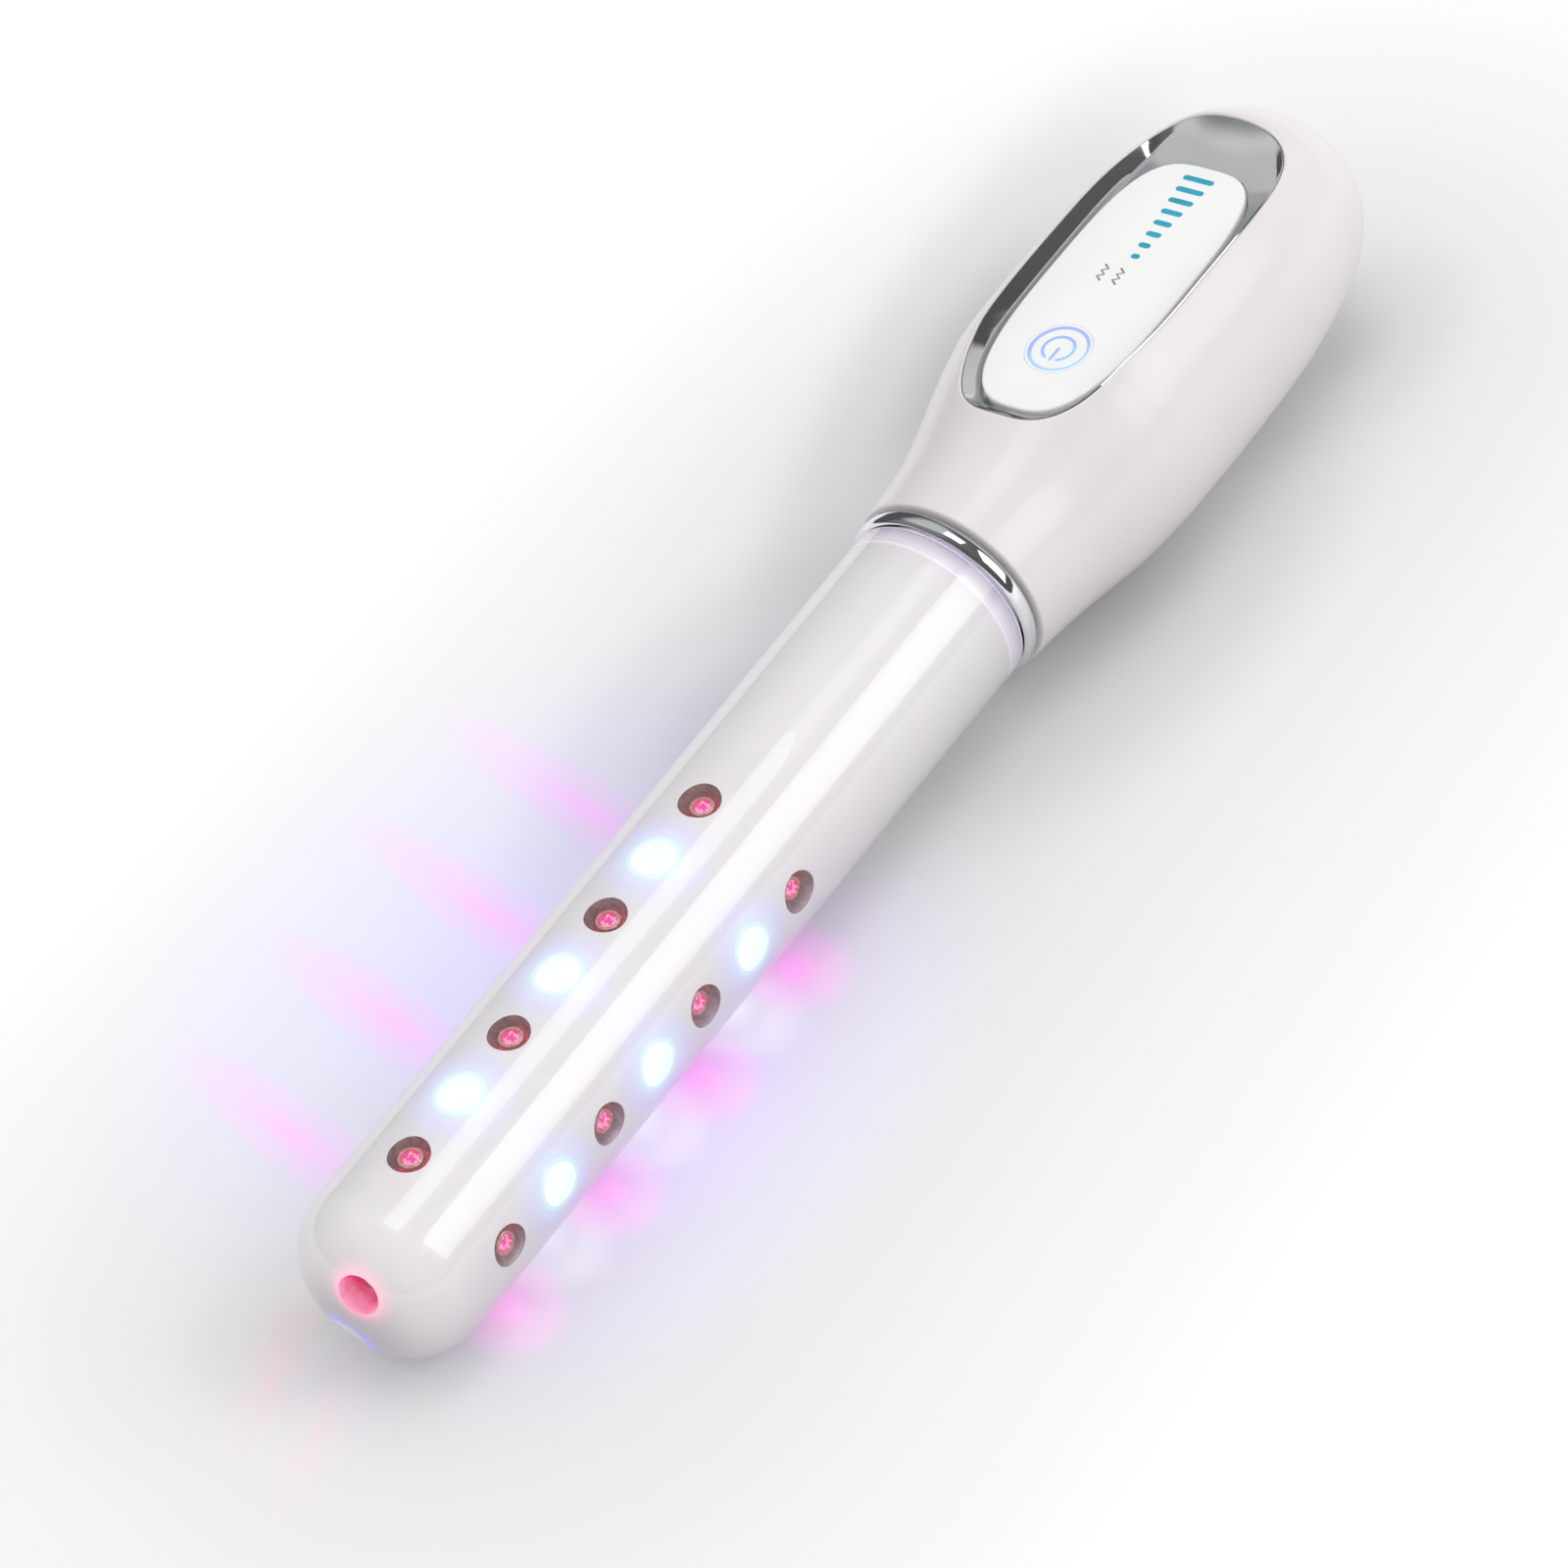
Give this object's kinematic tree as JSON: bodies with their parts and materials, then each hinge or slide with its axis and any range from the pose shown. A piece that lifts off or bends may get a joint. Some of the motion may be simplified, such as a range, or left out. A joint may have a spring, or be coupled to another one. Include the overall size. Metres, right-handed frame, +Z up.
{
  "type": "cold laser therapy wand",
  "caption": "Hand-held light therapy wand: clear domed sleeve over a white core of red laser and blue light windows, chrome ring, club-shaped handle, framed panel with power button.",
  "frame": {"origin": "middle of the footprint, on the surface that the wand lies on", "axes": "+X from the domed tip to the butt along the floor, +Z up out of the control panel, with the wand lying on its dome and on the flat of its belly, its axis tilted by 1.94 degrees"},
  "size_m": [0.2336, 0.0418, 0.0392],
  "materials": {
    "clear_cover": "polished clear acrylic",
    "core_white": "gloss",
    "laser_can": "gilt metal can",
    "blue_light": "moulded clear epoxy",
    "spine_metal": "extruded",
    "strip_board": "white solder mask",
    "seal_rubber": "smooth",
    "chrome": "mirror plated",
    "handle_white": "high gloss",
    "panel_white": "satin",
    "light_guide": "frosted clear",
    "motor_steel": "plain",
    "bush_plastic": "moulded",
    "switch_plastic": "moulded",
    "driver_board": "green solder mask",
    "screw_steel": "plated",
    "housing_plastic": "moulded",
    "cell_wrap": "film wrap",
    "inlet_plastic": "moulded",
    "contact_gold": "gilt"
  },
  "bodies": {
    "root": {"battery_cell": "cell_wrap", "bezel": "chrome", "blue_led_a1": "blue_light", "blue_led_a2": "blue_light", "blue_led_a3": "blue_light", "blue_led_b1": "blue_light", "blue_led_b2": "blue_light", "blue_led_b3": "blue_light", "blue_led_c1": "blue_light", "blue_led_c2": "blue_light", "blue_led_c3": "blue_light", "blue_led_d1": "blue_light", "blue_led_d2": "blue_light", "blue_led_d3": "blue_light", "board_screw_1": "screw_steel", "board_screw_2": "screw_steel", "board_screw_3": "screw_steel", "board_screw_4": "screw_steel", "charge_pin_1": "contact_gold", "charge_pin_2": "contact_gold", "chassis": "housing_plastic", "clear_sleeve": "clear_cover", "collar_ring": "chrome", "contact_plate": "inlet_plastic", "control_panel": "panel_white", "core_tube": "core_white", "diode_board_a": "strip_board", "diode_board_b": "strip_board", "diode_board_c": "strip_board", "diode_board_d": "strip_board", "handle_shell": "handle_white", "heat_spine": "spine_metal", "laser_diode_a1": "laser_can", "laser_diode_a2": "laser_can", "laser_diode_a3": "laser_can", "laser_diode_a4": "laser_can", "laser_diode_b1": "laser_can", "laser_diode_b2": "laser_can", "laser_diode_b3": "laser_can", "laser_diode_b4": "laser_can", "laser_diode_c1": "laser_can", "laser_diode_c2": "laser_can", "laser_diode_c3": "laser_can", "laser_diode_c4": "laser_can", "laser_diode_d1": "laser_can", "laser_diode_d2": "laser_can", "laser_diode_d3": "laser_can", "laser_diode_d4": "laser_can", "light_ring": "light_guide", "main_board": "driver_board", "motor_bush": "bush_plastic", "neck_seal": "seal_rubber", "tact_switch": "switch_plastic", "tip_blue_led": "blue_light", "tip_holder": "spine_metal", "tip_laser_diode": "laser_can", "vibration_motor": "motor_steel"},
    "button": {"power_button": "panel_white", "switch_plunger": "switch_plastic"},
    "weight": {"eccentric_weight": "motor_steel"}
  },
  "joints": [
    {"name": "button_press", "type": "slide", "parent": "root", "child": "button", "axis": [0.0339, 0, -0.9994], "range_m": [0, 0.0005], "stiffness_N_per_m": 1500, "springref_m": -0.0003},
    {"name": "weight_spin", "type": "hinge", "parent": "root", "child": "weight", "pos_m": [-0.00309, 0, 0.01672], "axis": [0.9994, 0, 0.0339], "continuous": true}
  ]
}
